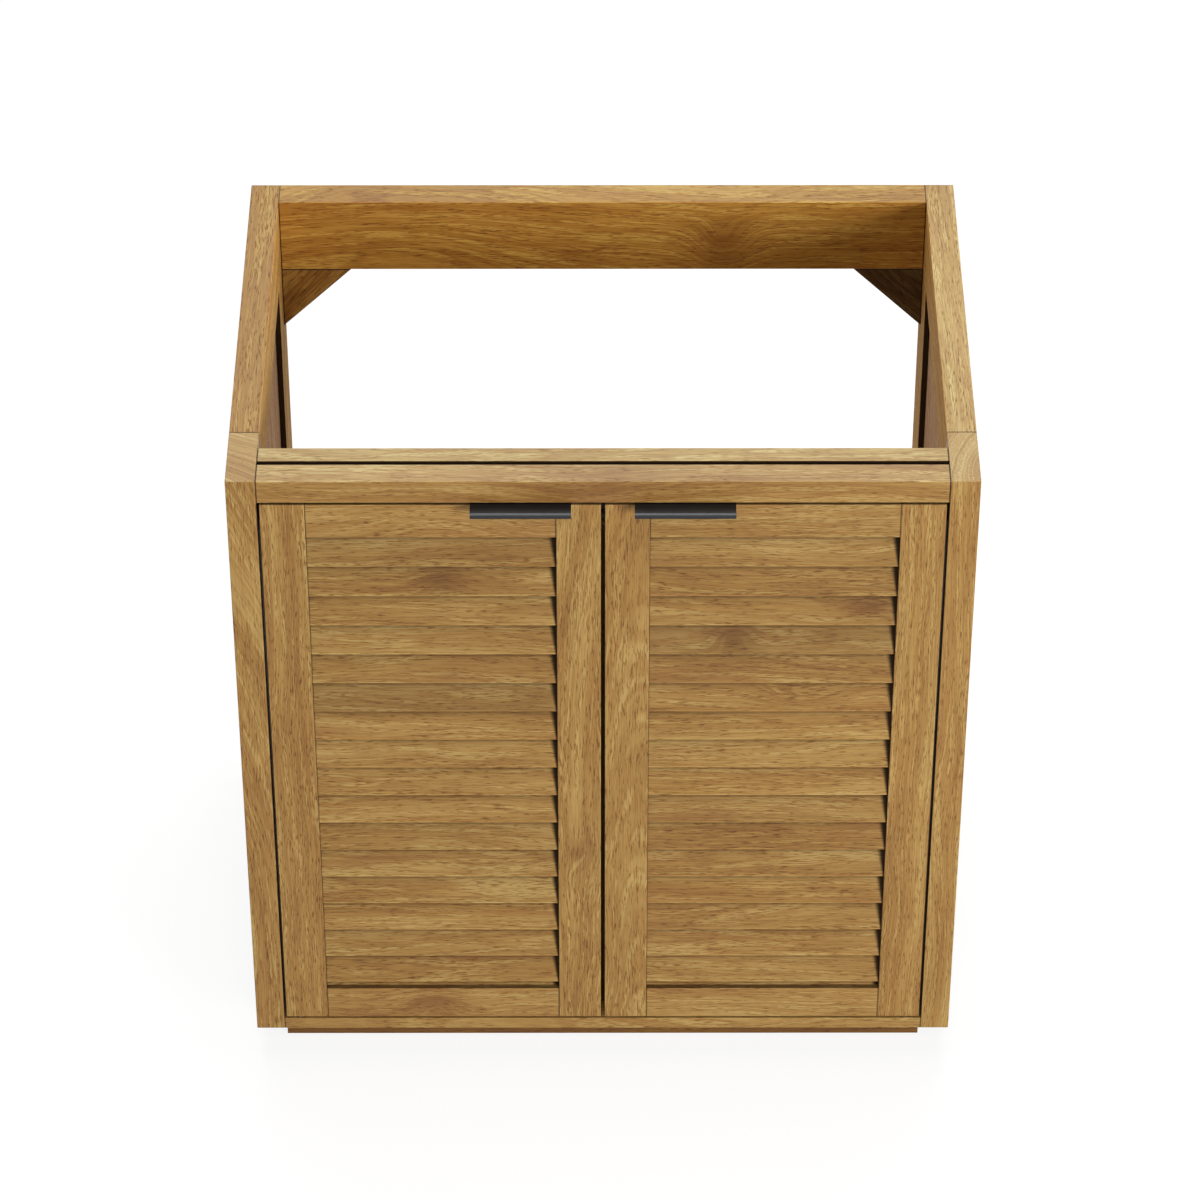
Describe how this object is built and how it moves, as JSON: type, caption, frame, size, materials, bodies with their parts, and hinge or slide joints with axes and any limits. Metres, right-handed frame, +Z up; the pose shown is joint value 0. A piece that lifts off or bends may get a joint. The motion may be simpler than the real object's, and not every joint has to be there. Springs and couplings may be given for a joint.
{
  "type": "vanity cabinet",
  "caption": "Wooden bathroom vanity cabinet with an open top for a basin, an open back for plumbing and inset louvred doors that swing on pivot pins, with black tab pulls.",
  "frame": {"origin": "on the floor, under the middle of the whole cabinet, pulls included", "axes": "+X to the right seen from the front, +Y to the back, +Z up; the doors face -Y"},
  "size_m": [0.6, 0.424, 0.636],
  "materials": {
    "frame_wood": "oiled teak-like wood, satin",
    "door_wood": "oiled teak-like wood, satin",
    "slat_wood": "oiled teak-like wood, satin",
    "pull_black": "satin black coat",
    "screw_steel": "black zinc",
    "pivot_steel": "bright steel",
    "bush_brass": "turned brass, darkened",
    "catch_plastic": "brown moulded",
    "magnet_steel": "dull plated"
  },
  "bodies": {
    "carcass": {"back_top_rail": "frame_wood", "bottom_board": "frame_wood", "catch_housing": "catch_plastic", "catch_magnets": "magnet_steel", "catch_screw": "screw_steel", "centre_post": "frame_wood", "front_top_rail": "frame_wood", "inner_front_stretcher": "frame_wood", "left_back_gusset": "frame_wood", "left_front_post": "frame_wood", "left_lower_bush": "bush_brass", "left_rear_post": "frame_wood", "left_side_bottom_rail": "frame_wood", "left_side_panel": "frame_wood", "left_side_top_rail": "frame_wood", "left_upper_bush": "bush_brass", "lower_back_rail": "frame_wood", "plinth_back": "frame_wood", "plinth_front": "frame_wood", "plinth_left": "frame_wood", "plinth_right": "frame_wood", "right_back_gusset": "frame_wood", "right_front_post": "frame_wood", "right_lower_bush": "bush_brass", "right_rear_post": "frame_wood", "right_side_bottom_rail": "frame_wood", "right_side_panel": "frame_wood", "right_side_top_rail": "frame_wood", "right_upper_bush": "bush_brass"},
    "left_door": {"left_door_bottom_rail": "door_wood", "left_door_top_rail": "door_wood", "left_inner_stile": "door_wood", "left_louvre_slats": "slat_wood", "left_lower_pivot_pin": "pivot_steel", "left_outer_stile": "door_wood", "left_pull": "pull_black", "left_pull_screws": "screw_steel", "left_strike_plate": "pivot_steel", "left_upper_pivot_pin": "pivot_steel"},
    "right_door": {"right_door_bottom_rail": "door_wood", "right_door_top_rail": "door_wood", "right_inner_stile": "door_wood", "right_louvre_slats": "slat_wood", "right_lower_pivot_pin": "pivot_steel", "right_outer_stile": "door_wood", "right_pull": "pull_black", "right_pull_screws": "screw_steel", "right_strike_plate": "pivot_steel", "right_upper_pivot_pin": "pivot_steel"}
  },
  "joints": [
    {"name": "left_door_swing", "type": "hinge", "parent": "carcass", "child": "left_door", "pos_m": [-0.26188, -0.192, 0.0437], "axis": [0, 0, -1], "range_deg": [0, 110]},
    {"name": "right_door_swing", "type": "hinge", "parent": "carcass", "child": "right_door", "pos_m": [0.26188, -0.192, 0.0437], "axis": [0, 0, 1], "range_deg": [0, 110]}
  ]
}
